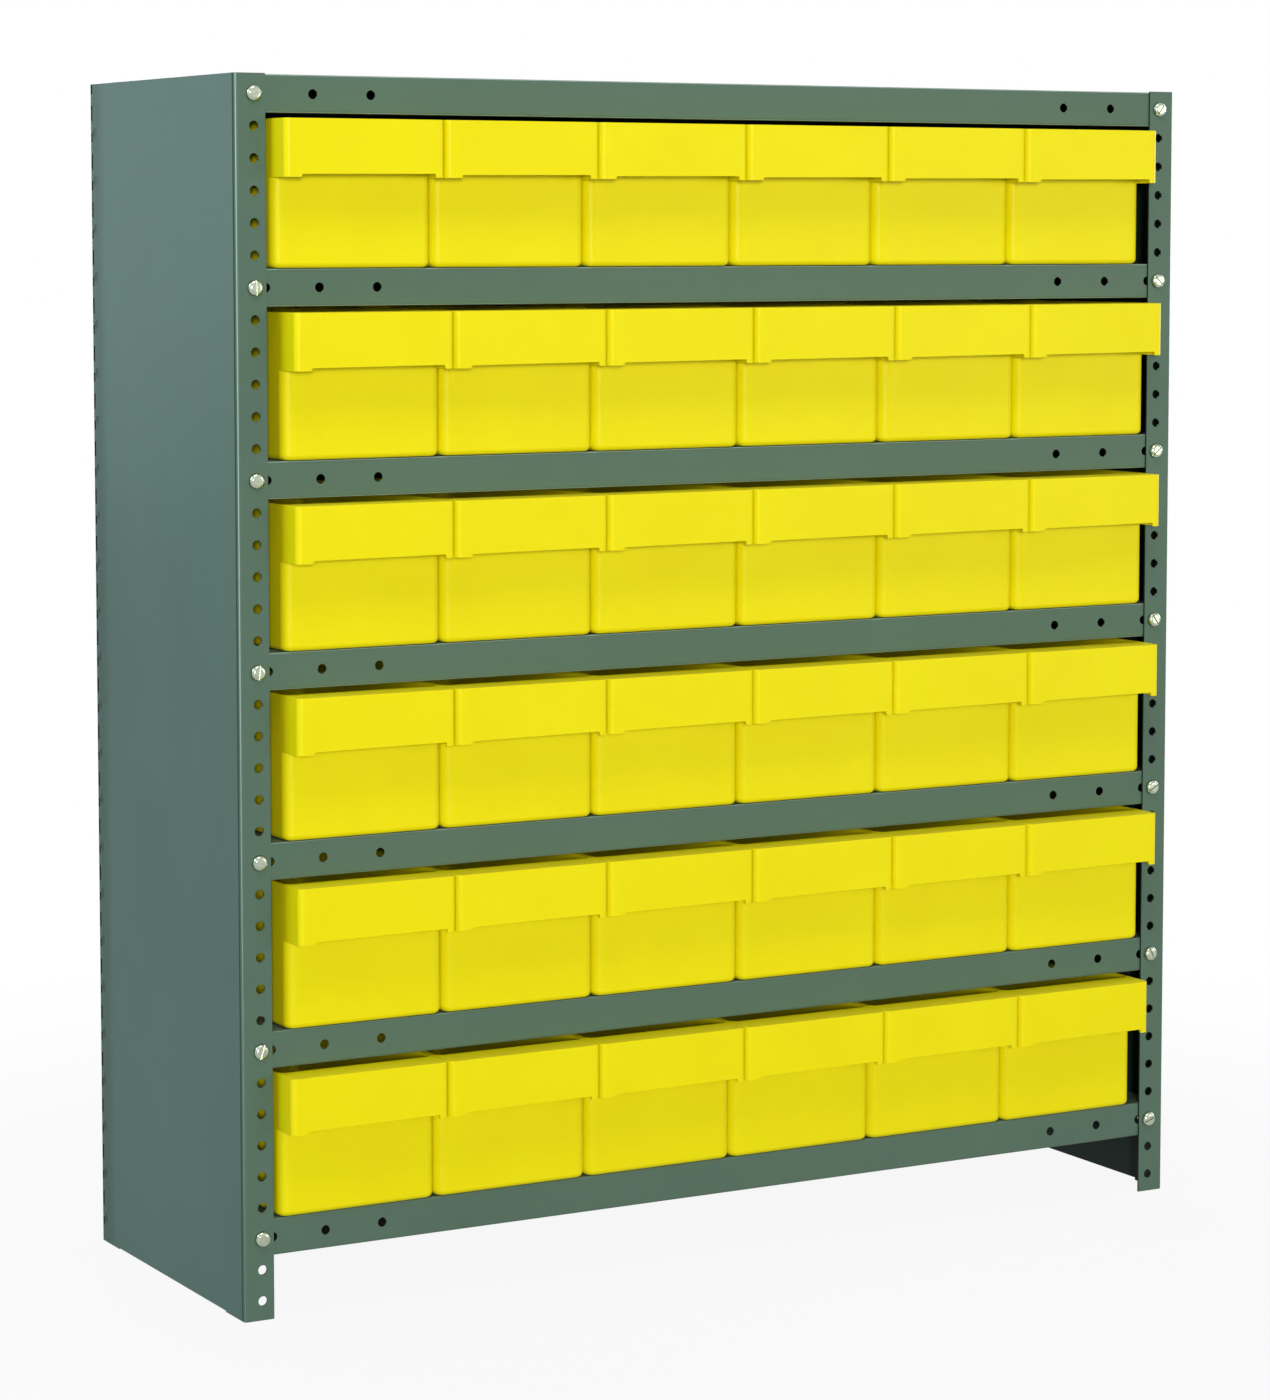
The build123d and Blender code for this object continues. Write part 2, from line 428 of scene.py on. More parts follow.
def ramp(wire, value, zero_at, one_at):
    """A smooth step from zero at one value to one at another, up or down."""
    return wire.add("ShaderNodeMapRange", {"interpolation_type": "SMOOTHSTEP"}, {
        "Value": value, "From Min": zero_at, "From Max": one_at, "To Min": 0.0, "To Max": 1.0})


def larger(wire, first, second):
    """The larger of two values."""
    return wire.maths("MAXIMUM", first, second)


def size_of(wire, value):
    """A value without its sign."""
    return wire.maths("ABSOLUTE", value, 0)


def painted_bend_highlight(wire):
    """A painted highlight: one along the middle of every bend high up, little low down, zero on the flats.
    """
    x, y, z = (size_of(wire, part_of(wire, "Normal", axis)) for axis in "XYZ")
    straight = larger(wire, larger(wire, x, y), z)
    higher_up = ramp(wire, part_of(wire, "Object", "Z"), 0, HIGHLIGHT_FULL_HEIGHT)
    return ramp(wire, straight, BEND_STARTS, BEND_FULL) * (LOW_HIGHLIGHT + higher_up * (1 - LOW_HIGHLIGHT))


def painted_inside_shade(wire):
    """Painted shade on the faces that look to the middle of the unit, also those in the slots of the rear
    posts.
    """
    x, y = (part_of(wire, "Object", axis) * part_of(wire, "Normal", axis) for axis in "XY")
    # Painted shade on inward faces
    return wire.maths("LESS_THAN", x + y, LOOKS_IN) * INSIDE_PAINTED_SHADE


def painted_panel_shade(wire):
    """Painted shade on the inside of a side panel and in the dimples outside, and a lighter band of it
    along its rear edge.
    """
    y = part_of(wire, "Object", "Y")
    band = ramp(wire, y, panel_rear - EDGE_PAINTED_SHADE_STARTS, panel_rear - EDGE_PAINTED_SHADE_FULL)
    level = size_of(wire, part_of(wire, "Object", "X"))
    sunk = wire.maths("LESS_THAN", level, panel_outer - SUNK)
    # Painted shade in the rear band, in the dimples and on the inward faces
    return larger(wire, larger(wire, band * EDGE_PAINTED_SHADE, sunk * DIMPLE_PAINTED_SHADE), painted_inside_shade(wire))


print("the side panels' outer faces are", round(panel_outer / MM, 1), "mm from the middle")

# %% [markdown]
# The side panels get a bluer enamel than the posts and shelves, which paints the shade of the side into
# their colour. So the enamel is made by a function that takes the two shades it drifts between and the
# mask of its painted shade.

# %% Make the enamel
FRAME_SHADES = (linear(83, 108, 95), linear(93, 118, 104))
# The panels' bluer tones paint the shade of the side into their colour
PANEL_SHADED_TONES = (linear(72, 103, 95), linear(90, 121, 113))
# A pale colour painted along the bends as a highlight
ENAMEL_PAINTED_HIGHLIGHT = linear(172, 194, 188)
# A dark colour painted where shade falls: inside the unit, in slots and dimples, along the panels' rear
# edge
ENAMEL_PAINTED_SHADE = linear(20, 34, 29)


def make_enamel(name, dark, light, painted_shade):
    """Satin baked enamel that drifts between two shades, with painted shade where the given mask is and a
    painted highlight on the bends.
    """
    material, wire, shader = new_finish(name, IOR=1.5, Specular_IOR_Level=0.05)
    drift = noise(wire, scale=5.5, detail=3.0)
    cloud = noise(wire, scale=38.0, detail=4.0)
    peel = noise(wire, scale=620.0, detail=1.0)
    specks = noise(wire, scale=1900.0, detail=1.0)
    paint = blend_colours(wire, drift * 0.75 + cloud * 0.25, dark, light)
    # Painted shade where the mask says, then a painted highlight on the bends
    shaded_paint = blend_colours(wire, painted_shade(wire), paint, ENAMEL_PAINTED_SHADE)
    feed(shader,
         Base_Color=blend_colours(wire, painted_bend_highlight(wire) * (0.6 + cloud * 0.5), shaded_paint, ENAMEL_PAINTED_HIGHLIGHT),
         Roughness=0.24 + cloud * 0.08 + drift * 0.06,
         Normal=bump(wire, peel * 0.8 + specks * 0.2, depth=0.03 * MM, strength=0.6))
    return material


frame_enamel = make_enamel("frame_enamel", *FRAME_SHADES, painted_inside_shade)
# The side panels get the bluer enamel, painted shade of the side
shaded_panel_enamel = make_enamel("shaded_panel_enamel", *PANEL_SHADED_TONES, painted_panel_shade)
print("made", frame_enamel.name, "and", shaded_panel_enamel.name)

# %% [markdown]
# ## The drawer plastic
#
# The drawers are moulded in a strong yellow plastic with a soft gloss. The mould leaves a very fine
# grain, the flow of the plastic leaves faint streaks, and handling leaves the gloss uneven. Yellow
# with almost no blue gives the deep colour between the drawers, where the light bounces many times.

# %% Make the drawer plastic
YELLOW_DEEP = linear(234, 221, 8)
YELLOW_BRIGHT = linear(241, 231, 14)


def make_drawer_plastic():
    """Soft-gloss moulded yellow plastic."""
    material, wire, shader = new_finish("yellow_moulding", IOR=1.49, Specular_IOR_Level=0.12)
    flow = noise(wire, scale=16.0, detail=3.0, roughness=0.6)
    grain = noise(wire, scale=2600.0, detail=1.0)
    handling = noise(wire, scale=60.0, detail=4.0)
    feed(shader,
         Base_Color=blend_colours(wire, flow, YELLOW_DEEP, YELLOW_BRIGHT),
         Roughness=0.34 + handling * 0.10,
         Normal=bump(wire, grain, depth=0.012 * MM, strength=0.5))
    return material


drawer_plastic = make_drawer_plastic()
print("made", drawer_plastic.name, "with", len(drawer_plastic.node_tree.nodes), "nodes")

# %% [markdown]
# ## The zinc
#
# Bolts and nuts are bright zinc plated. The plating is a little cloudy, with a faint warm tint, and
# tumbling leaves fine scratches that break up the shine. Both its shades are also tinted green, a
# painted reflection of the green steel around the bolts.

# %% Make the zinc
# Both zinc shades are tinted green, a painted reflection of the green steel around the bolts
ZINC_BRIGHT_GREENED = linear(190, 200, 184)
ZINC_DULL_GREENED = linear(146, 154, 132)


def make_zinc():
    """Bright zinc plating with a cloudy tint, tinted green as a painted reflection."""
    material, wire, shader = new_finish("bright_zinc", Metallic=1.0)
    cloud = noise(wire, scale=210.0, detail=3.0)
    scratches = noise(wire, scale=2400.0, detail=2.0)
    feed(shader,
         Base_Color=blend_colours(wire, cloud, ZINC_BRIGHT_GREENED, ZINC_DULL_GREENED),
         Roughness=0.12 + cloud * 0.12 + scratches * 0.08,
         Normal=bump(wire, scratches, depth=0.01 * MM, strength=0.4))
    return material


zinc = make_zinc()
print("made", zinc.name, "with", len(zinc.node_tree.nodes), "nodes")

# %% [markdown]
# ## Standing for a node
#
# A finished piece gets its finish, the one of its node's slot unless another is given, stands for its
# node in the frame and moves with that node's body.

# %% Helper for handing a piece over
SLOTS = {row["node"]: row["material_slot"] for row in frame["record"]["subparts"]}
FINISHES = {"enamelled_steel": frame_enamel, "drawer_plastic": drawer_plastic, "zinc_plated_steel": zinc}


def stand_for(piece, node, body, finish=None):
    """Gives a piece a finish, or the one of its slot, and lets it stand for a node of the frame."""
    piece.data.materials.clear()
    piece.data.materials.append(finish or FINISHES[SLOTS[node]])
    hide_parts(node)
    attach(piece, body)


print(len(SLOTS), "nodes in", len(FINISHES), "slots")

# %% [markdown]
# ## The drawer
#
# A drawer is one moulding: an open box with round corners and a round bottom edge, and a hooded pull
# across the top of its front. It could be drawn face by face, but a mould maker's way is shorter.
# The outside is a block with rounded edges, the pull is a second block hollowed from below and
# joined to it, and the inside is the mould's core, cut out at the end.

# %% Model the outside of a drawer
HOOD_REACH = 25.4 * MM
HOOD_DROP = 43.8 * MM
TAB_DROP = 2.4 * MM
WALL = 2.3 * MM
DRAWER_FLOOR = 2.5 * MM
BODY_CORNER = 8.5 * MM
BOTTOM_EDGE = 4.6 * MM
HOOD_CORNER = 5 * MM
EDGE_RADIUS = 0.45 * MM

drawer_low, drawer_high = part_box("drawer_r1_c1")
body_front = drawer_low.y + HOOD_REACH


def drawer_outside():
    """The solid outside of the box, with round corners and a round bottom edge."""
    piece = block("drawer_r1_c1_moulding", (drawer_low.x, body_front, drawer_low.z), drawer_high)
    pick_edges(lambda place, along: upright(along))
    bevel(BODY_CORNER, segments=8)
    pick_edges(lambda place, along: near(place.z, drawer_low.z))
    bevel(BOTTOM_EDGE, segments=5)
    pick_edges(lambda place, along: near(place.z, drawer_high.z))
    bevel(EDGE_RADIUS, segments=2)
    done()
    return piece


first_drawer = drawer_outside()
print("outside of a drawer:", len(first_drawer.data.polygons), "faces")

# %% [markdown]
# The pull is a ledge level with the rim, an apron that hangs from it and an end wall at each side.
# Seen from the front, its lower edge has a tab at each end, the left one wider, and rises a little to
# the right between them. Each change of the edge gets its own slice, and the points there are moved up.

# %% Model the pull
TAB_LEFT = 14 * MM
TAB_RIGHT = 8 * MM
TAB_STEP = 0.5 * MM
APRON_RISE = 0.8 * MM
SEAT = 1 * MM

hood_low = drawer_high.z - HOOD_DROP - TAB_DROP
hood_back = body_front + BODY_CORNER + SEAT


def apron_edge():
    """Where the pull's lower edge changes, as (x, rise) pairs from the left."""
    left = drawer_low.x + TAB_LEFT
    right = drawer_high.x - TAB_RIGHT
    return [(left, 0), (left + TAB_STEP, TAB_DROP),
            (right - TAB_STEP, TAB_DROP + APRON_RISE), (right, 0)]


def hooded_pull():
    """The pull, reaching back into the walls of the box that carries it."""
    low = (drawer_low.x, drawer_low.y, hood_low)
    piece = block("pull", low, (drawer_high.x, hood_back, drawer_high.z))
    pick_edges(lambda place, along: upright(along) and near(place.y, drawer_low.y))
    bevel(HOOD_CORNER, segments=6)
    pick_faces(lambda place, normal: normal.z < -ALONG)
    bpy.ops.mesh.inset(thickness=WALL, depth=0)
    extrude(z=HOOD_DROP + TAB_DROP - WALL)
    apron_back = drawer_low.y + WALL + NEAR
    for x, _ in apron_edge():
        slice_at((x, 0, 0), (1, 0, 0))
    for x, rise in apron_edge():
        pick_points(lambda p: near(p.x, x) and near(p.z, hood_low) and p.y < apron_back)
        move(z=rise)
    done()
    soften(piece, EDGE_RADIUS)
    return piece


combine(first_drawer, hooded_pull(), "UNION")
print("with its pull:", len(first_drawer.data.polygons), "faces")

# %% [markdown]
# The core is a block whose corners are those of the outside less the wall, so the wall is even all
# round. Its top flares by a hair, which leaves the inner edge of the rim chamfered.

# %% Cut out the inside and copy the drawer
CORE_BOTTOM_EDGE = 3 * MM
CORE_RISE = 5 * MM


def drawer_core():
    """The space inside a drawer, flared at the rim."""
    low = Vector((drawer_low.x + WALL, body_front + WALL, drawer_low.z + DRAWER_FLOOR))
    high = Vector((drawer_high.x - WALL, drawer_high.y - WALL, drawer_high.z - EDGE_RADIUS))
    core = block("core", low, high)
    pick_edges(lambda place, along: upright(along))
    bevel(BODY_CORNER - WALL, segments=8)
    pick_edges(lambda place, along: near(place.z, low.z))
    bevel(CORE_BOTTOM_EDGE, segments=4)
    pick_faces(lambda place, normal: normal.z > ALONG)
    size = high - low
    flare = [1 + 2 * EDGE_RADIUS / size.x, 1 + 2 * EDGE_RADIUS / size.y, 1]
    extrude(z=EDGE_RADIUS)
    bpy.ops.transform.resize(value=flare, center_override=(low + high) / 2)
    extrude(z=CORE_RISE)
    done()
    return core


combine(first_drawer, drawer_core(), "DIFFERENCE")
shade(first_drawer)
drawers = [body for body in frame["record"]["behaviour"]["bodies"] if body.startswith("drawer")]
for node in drawers:
    piece = first_drawer
    if node != "drawer_r1_c1":
        piece = copy_of(first_drawer, f"{node}_moulding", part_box(node)[0] - drawer_low)
    stand_for(piece, node, node)
print(len(drawers), "drawers of", len(first_drawer.data.polygons), "faces each")

# %% [markdown]
# ## The posts
#
# Each post is a strip of steel folded to an angle, with a line of round holes down its face and
# another down its side, an inch apart. A punch is a rod here, and a row of holes is one rod repeated
# upwards, which cuts the whole row in one go.

# %% Helpers for punching
HOLE_RADIUS = 3.95 * MM
HOLE_SIDES = 24
POST_SHEET = 1.9 * MM
PUNCH_LENGTH = 4 * POST_SHEET


def round_cutter(places, along):
    """Rods through all the places, along X or Y, as one cutting tool."""
    turn = (0, pi / 2, 0) if along == "X" else (pi / 2, 0, 0)
    rod = dict(vertices=HOLE_SIDES, radius=HOLE_RADIUS, depth=PUNCH_LENGTH, rotation=turn)
    tool = start("cylinder", "rods", location=places[0], **rod)
    for place in places[1:]:
        bpy.ops.mesh.primitive_cylinder_add(location=place, **rod)
    done()
    return tool


def repeat_upwards(piece, count, pitch):
    """Repeats a piece in a straight row upwards."""
    modify(piece, "ARRAY", count=count, use_relative_offset=False, use_constant_offset=True,
           constant_offset_displace=(0, 0, pitch))


print("made punches", round(2 * HOLE_RADIUS / MM, 1), "mm across")

# %% [markdown]
# A post starts as a flat strip. One edge is pulled back to make the side, the fold is rounded, the
# sheet gets its thickness, and the rods cut the holes. The four posts mirror each other, so the node's
# place in the unit tells which way each one folds.

# %% Model a post
HOLE_PITCH = 25.4 * MM
LOWEST_HOLE = 15.875 * MM
FACE_HOLE_INSET = 17 * MM
SIDE_HOLE_INSET = 30.5 * MM
POST_BEND = 3 * MM
CUT_EDGE = 0.25 * MM

unit_low, unit_high = cad_box
post_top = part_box("post_front_left")[1].z
hole_count = round((post_top - 2 * LOWEST_HOLE) / HOLE_PITCH) + 1


def angle_post(node):
    """One folded and punched post, on the side and end of the unit where its node is."""
    low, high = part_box(node)
    right = low.x > 0
    rear = low.y > 0
    outer = high.x if right else low.x
    face = high.y if rear else low.y
    depth = (low.y - high.y) if rear else (high.y - low.y)
    middle = ((low.x + high.x) / 2, face, post_top / 2)
    piece = start("plane", f"{node}_angle", size=1, location=middle,
                  rotation=(-pi / 2 if rear else pi / 2, 0, 0), scale=(high.x - low.x, post_top, 1))
    pick_edges(lambda place, along: near(place.x, outer))
    extrude(y=depth)
    pick_edges(lambda place, along: near(place.x, outer) and near(place.y, face) and upright(along))
    bevel(POST_BEND, segments=6)
    done()
    modify(piece, "SOLIDIFY", thickness=POST_SHEET, offset=-1, use_even_offset=True)
    soften(piece, CUT_EDGE)
    inward = -1 if right else 1
    to_middle = -1 if rear else 1
    hole_x = (unit_high.x if right else unit_low.x) + inward * FACE_HOLE_INSET
    hole_y = face + to_middle * SIDE_HOLE_INSET
    for place, along in (((hole_x, face, LOWEST_HOLE), "Y"), ((outer, hole_y, LOWEST_HOLE), "X")):
        rods = round_cutter([place], along)
        repeat_upwards(rods, hole_count, HOLE_PITCH)
        combine(piece, rods, "DIFFERENCE")
    return piece


posts = {node: angle_post(node) for node in frame["nodes"] if node.startswith("post_")}
print(len(posts), "posts with", 2 * hole_count, "holes each")

# %% [markdown]
# The rear posts carry a line of slots along their outer corner, short and long in turn from the top,
# where other fittings hook in. The side panels are notched to leave them open, so from the front left
# they show as a dark dashed line on the unit's edge, made darker by painted shade on the slot walls.

# %% Slot the rear posts
SLOT_PITCH = 20.3 * MM
SLOT_WIDTH = 5.5 * MM
SLOT_LENGTHS = (7.5 * MM, 13 * MM)
SLOT_INSET = 5.75 * MM
SLOT_START = 4.3 * MM


def corner_slots(node):
    """A tool of upright bars along the outer rear corner of a post."""
    low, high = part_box(node)
    x = high.x if low.x > 0 else low.x
    y = high.y - SLOT_INSET
    count = int((post_top - 2 * SLOT_START) / SLOT_PITCH) + 1
    for index in range(count):
        level = post_top - SLOT_START - index * SLOT_PITCH
        size = (PUNCH_LENGTH, SLOT_WIDTH, SLOT_LENGTHS[index % 2])
        if index == 0:
            tool = start("cube", "bars", size=1, location=(x, y, level), scale=size)
        else:
            bpy.ops.mesh.primitive_cube_add(size=1, location=(x, y, level), scale=size)
    done()
    return tool


for node, piece in posts.items():
    if "rear" in node:
        combine(piece, corner_slots(node), "DIFFERENCE")
    shade(piece)
    stand_for(piece, node, "frame")
    print(node, len(piece.data.polygons), "faces")

# %% [markdown]
# ## The shelves
#
# A shelf is a sheet folded down on all four sides, with the front and rear lips returned inwards for
# stiffness. A plane with its border pulled down would need care where three folds meet at a corner.
# Here a block gets the rounded folds, its hollow is cut out one sheet inside them, and the mouth is cut
# between the two returns.

# %% Fold a shelf
SHELF_SHEET = 0.9 * MM
SHELF_BEND = 2 * MM
SHELF_RETURN = 10 * MM


def shelf_pan(node):
    """The folded sheet of a shelf, before it is punched."""
    low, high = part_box(node)
    wall = Vector((SHELF_SHEET, SHELF_SHEET, SHELF_SHEET))
    piece = block(f"{node}_pressing", low, high)
    pick_edges(lambda place, along: place.z > low.z + NEAR or abs(place.x) < NEAR)
    bevel(SHELF_BEND, segments=4)
    done()
    hollow = block("hollow", low + wall, high - wall)
    pick_edges(lambda place, along: place.z > low.z + SHELF_SHEET + NEAR)
    bevel(SHELF_BEND - SHELF_SHEET, segments=4)
    done()
    combine(piece, hollow, "DIFFERENCE")
    mouth = block("mouth", (low.x + SHELF_SHEET, low.y + SHELF_RETURN, low.z - SHELF_SHEET),
                  (high.x - SHELF_SHEET, high.y - SHELF_RETURN, low.z + 2 * SHELF_SHEET))
    done()
    combine(piece, mouth, "DIFFERENCE")
    return piece


top_shelf = shelf_pan("shelf_1")
plain_shelf = shelf_pan("shelf_2")
print("a folded shelf has", len(plain_shelf.data.polygons), "faces")

# %% [markdown]
# The end slots of the front lip take up the play of the posts, and two holes stand beside each. A slot
# is a round hole whose two halves are drawn apart. The top shelf is punched a little further out than
# the rest, which are copies of one.

# %% Punch and place the shelves
LIP_SLOT = 22 * MM
LIP_SLOT_INSET = 20 * MM
LIP_HOLE_INSETS = (73.7 * MM, 124.5 * MM)
TOP_SHELF_SHIFT = 4.8 * MM


def lip_cutter(level, y, shift):
    """The slots and holes of a front lip as one tool."""
    half = unit_high.x
    slot_x = half - LIP_SLOT_INSET + shift
    reach = LIP_SLOT / 2 - HOLE_RADIUS
    places = [(side * (half - inset + shift), y, level) for side in (-1, 1) for inset in LIP_HOLE_INSETS]
    slots = [(side * slot_x, y, level) for side in (-1, 1)]
    tool = round_cutter(slots + places, "Y")
    select_only(tool)
    bpy.ops.object.mode_set(mode="EDIT")
    for side in (-1, 1):
        for end in (-1, 1):
            middle = side * slot_x
            pick_points(lambda p: 0 < end * (p.x - middle) < 2 * HOLE_RADIUS)
            move(x=end * reach)
    done()
    return tool


def punch_shelf(piece, node, shift):
    """Punches a shelf's slots and holes, those of the front shifted outwards by so much."""
    low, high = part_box(node)
    level = (low.z + high.z) / 2
    combine(piece, lip_cutter(level, low.y, shift), "DIFFERENCE")
    rear_holes = [(side * (unit_high.x - FACE_HOLE_INSET), high.y, level) for side in (-1, 1)]
    combine(piece, round_cutter(rear_holes, "Y"), "DIFFERENCE")
    shade(piece)


punch_shelf(top_shelf, "shelf_1", TOP_SHELF_SHIFT)
stand_for(top_shelf, "shelf_1", "frame")
punch_shelf(plain_shelf, "shelf_2", 0)
shelf_nodes = sorted(node for node in frame["nodes"] if node.startswith("shelf_"))
for node in shelf_nodes[1:]:
    piece = plain_shelf
    if node != "shelf_2":
        piece = copy_of(plain_shelf, f"{node}_pressing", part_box(node)[0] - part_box("shelf_2")[0])
    stand_for(piece, node, "frame")
print(len(shelf_nodes), "shelves of about", len(plain_shelf.data.polygons), "faces")

# %% [markdown]
# ## The panels
#
# The side panels are plain sheets, welded to the posts from inside. The spot welds leave a row of
# shallow dimples near the rear edge. The back panel is clamped by the rear bolts. Each is a thin block
# with soft edges: the dimples are the caps of flattened balls, the bars that slot the rear posts cut the
# notches over the slots, and rods cut the bolt holes.

# %% Model the panels
DIMPLE_PITCH = 40.6 * MM
DIMPLE_BALL = 9 * MM
DIMPLE_SWELL = 3 * MM
DIMPLE_DEPTH = 0.5 * MM
DIMPLE_INSET = 9 * MM
DIMPLE_SIDES = 48
PANEL_EDGE = 0.2 * MM


def sheet(node):
    """A flat sheet with soft edges, over its node."""
    low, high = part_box(node)
    piece = block(f"{node}_sheet", low, high)
    done()
    soften(piece, PANEL_EDGE)
    return piece


def weld_dimples(node):
    """A tool of balls that press a row of dimples into the outside of a side panel."""
    low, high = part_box(node)
    right = low.x > 0
    x = high.x + DIMPLE_SWELL - DIMPLE_DEPTH if right else low.x - DIMPLE_SWELL + DIMPLE_DEPTH
    y = high.y - DIMPLE_INSET
    balls = start("uv_sphere", "balls", segments=DIMPLE_SIDES, ring_count=DIMPLE_SIDES, radius=DIMPLE_BALL,
                  location=(x, y, low.z + DIMPLE_PITCH / 2), scale=(DIMPLE_SWELL / DIMPLE_BALL, 1, 1))
    done()
    repeat_upwards(balls, int((high.z - low.z) / DIMPLE_PITCH), DIMPLE_PITCH)
    return balls


for side in ("left", "right"):
    node = f"side_panel_{side}"
    piece = sheet(node)
    combine(piece, weld_dimples(node), "DIFFERENCE")
    combine(piece, corner_slots(f"post_rear_{side}"), "DIFFERENCE")
    shade(piece)
    stand_for(piece, node, "frame", shaded_panel_enamel)

back = sheet("back_panel")
back_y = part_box("back_panel")[0].y
shelf_levels = [sum(corner.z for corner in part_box(node)) / 2 for node in shelf_nodes]
back_holes = [(side * (unit_high.x - FACE_HOLE_INSET), back_y, level)
              for side in (-1, 1) for level in shelf_levels]
combine(back, round_cutter(back_holes, "Y"), "DIFFERENCE")
shade(back)
stand_for(back, "back_panel", "frame")
print("panels with", len(back_holes), "bolt holes in the back")

# %% [markdown]
# ## The bolts and nuts
#
# Short round-head bolts with a straight slot hold each corner of each shelf. A head starts as a
# cylinder whose front edge is beveled so far that it turns into a dome. The back is inset and pulled
# out into the shank, and a bar cuts the slot.

# %% Model a bolt and a nut
HEAD_RADIUS = 6.6 * MM
HEAD_HEIGHT = 4 * MM
HEAD_SIDES = 32
DOME_SHARE = 0.85
DRIVE_WIDTH = 1.3 * MM
DRIVE_DEPTH = 1.7 * MM
SHANK_RADIUS = 3.1 * MM
SHANK_LENGTH = 12.7 * MM
SHANK_CHAMFER = 0.6 * MM
NUT_FLATS = 11.1 * MM
NUT_HEIGHT = 5.5 * MM
NUT_BORE = 3.2 * MM
NUT_EDGE = 0.4 * MM


def slotted_bolt():
    """A bolt along +Y at the origin, its head in front of the seat."""
    piece = start("cylinder", "bolt", vertices=HEAD_SIDES, radius=HEAD_RADIUS, depth=HEAD_HEIGHT,
                  location=(0, -HEAD_HEIGHT / 2, 0), rotation=(pi / 2, 0, 0))
    pick_edges(lambda place, along: near(place.y, -HEAD_HEIGHT))
    bevel(DOME_SHARE * HEAD_HEIGHT, segments=7)
    pick_faces(lambda place, normal: normal.y > ALONG)
    bpy.ops.mesh.inset(thickness=HEAD_RADIUS - SHANK_RADIUS, depth=0)
    extrude(y=SHANK_LENGTH)
    pick_edges(lambda place, along: near(place.y, SHANK_LENGTH))
    bevel(SHANK_CHAMFER, segments=1)
    done()
    bar = block("bar", (-2 * HEAD_RADIUS, -2 * HEAD_HEIGHT, -DRIVE_WIDTH / 2),
                (2 * HEAD_RADIUS, DRIVE_DEPTH - HEAD_HEIGHT, DRIVE_WIDTH / 2))
    done()
    combine(piece, bar, "DIFFERENCE")
    shade(piece)
    return piece


def hexagon_nut():
    """A nut on the Y axis, reaching back from its seat at the origin."""
    piece = start("cylinder", "nut", vertices=6, radius=NUT_FLATS / 2 / cos(pi / 6), depth=NUT_HEIGHT,
                  location=(0, NUT_HEIGHT / 2, 0), rotation=(pi / 2, 0, 0))
    pick_faces(lambda place, normal: abs(normal.y) > ALONG)
    bpy.ops.mesh.inset(thickness=NUT_FLATS / 2 - NUT_BORE, depth=0, use_even_offset=True)
    bpy.ops.mesh.bridge_edge_loops()
    done()
    soften(piece, NUT_EDGE)
    shade(piece)
    return piece


bolt = slotted_bolt()
nut = hexagon_nut()
print("a bolt of", len(bolt.data.polygons), "faces and a nut of", len(nut.data.polygons))

# %% [markdown]
# The corners of the shelves give the places. On a real unit the slots stop at any angle, so each copy is
# turned by its own amount, and each set starts from another angle. The copies of one node are joined
# into one piece, as the node in the frame holds them together too.

# %% Place the bolts and nuts
TURN_STEP = radians(137.5)


def at_corners(piece, node, y, turned):
    """Copies of a fastener at the corners of all the shelves, each turned by its own amount."""
    copies = []
    first_angle = y
    for index, level in enumerate(shelf_levels):
        for side in (-1, 1):
            angle = TURN_STEP * (2 * index + (side > 0)) + first_angle
            place = (side * (unit_high.x - FACE_HOLE_INSET), y, level)
            copies.append(copy_of(piece, f"{node}_set", place, (0, angle, pi if turned else 0)))
    select_only(*copies)
    bpy.ops.object.join()
    stand_for(copies[0], node, "frame")
    print(node, len(copies), "copies")


at_corners(bolt, "front_bolts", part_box("post_front_left")[0].y, False)
at_corners(bolt, "rear_bolts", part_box("post_rear_left")[1].y, True)
at_corners(nut, "front_nuts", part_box("front_nuts")[0].y, False)
at_corners(nut, "rear_nuts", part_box("rear_nuts")[1].y, True)
bpy.data.objects.remove(bolt)
bpy.data.objects.remove(nut)

# %% [markdown]
# ## The studio
#
# The picture is a plain catalogue shot on a white ground. The ground is a pale floor that keeps a light
# shadow round the unit. To the camera, and in reflections, the world beyond it is white too. Hardly any
# light gets under the rear of the unit, and that part of the floor is painted dark with soft edges. It
# shows through the holes of the lowest lip, which are black in the picture.

# %% Lay the floor
FLOOR_SIZE = 60.0
FLOOR_GREY = (0.35, 0.35, 0.35, 1)
FLOOR_DARK = (0.03, 0.03, 0.03, 1)
SHADOW_SHARE = 0.08
SHADOW_REACH = 1.4
SHADOW_FULL = SHADOW_REACH / 3
# The dark under the unit, from its middle line to its soft edges
UNDER_MIDDLE = 0.10
UNDER_DEPTH = 0.06
UNDER_CORE = UNDER_DEPTH / 2
UNDER_INSET = 0.02
UNDER_WIDTH = unit_high.x - UNDER_INSET
UNDER_FADE = 0.10
WHITE = (1, 1, 1, 1)

bpy.ops.object.select_all(action="DESELECT")
bpy.ops.mesh.primitive_plane_add(size=FLOOR_SIZE, location=(0, 0, 0))
floor = bpy.context.object
floor.name = "studio_floor"


def looked_at(wire):
    """One where a ray comes from the camera, a reflection or a view through glass, or else zero."""
    kinds = [wire.add("ShaderNodeLightPath", output=f"Is {kind} Ray")
             for kind in ("Camera", "Glossy", "Transmission")]
    return kinds[0] + kinds[1] + kinds[2]


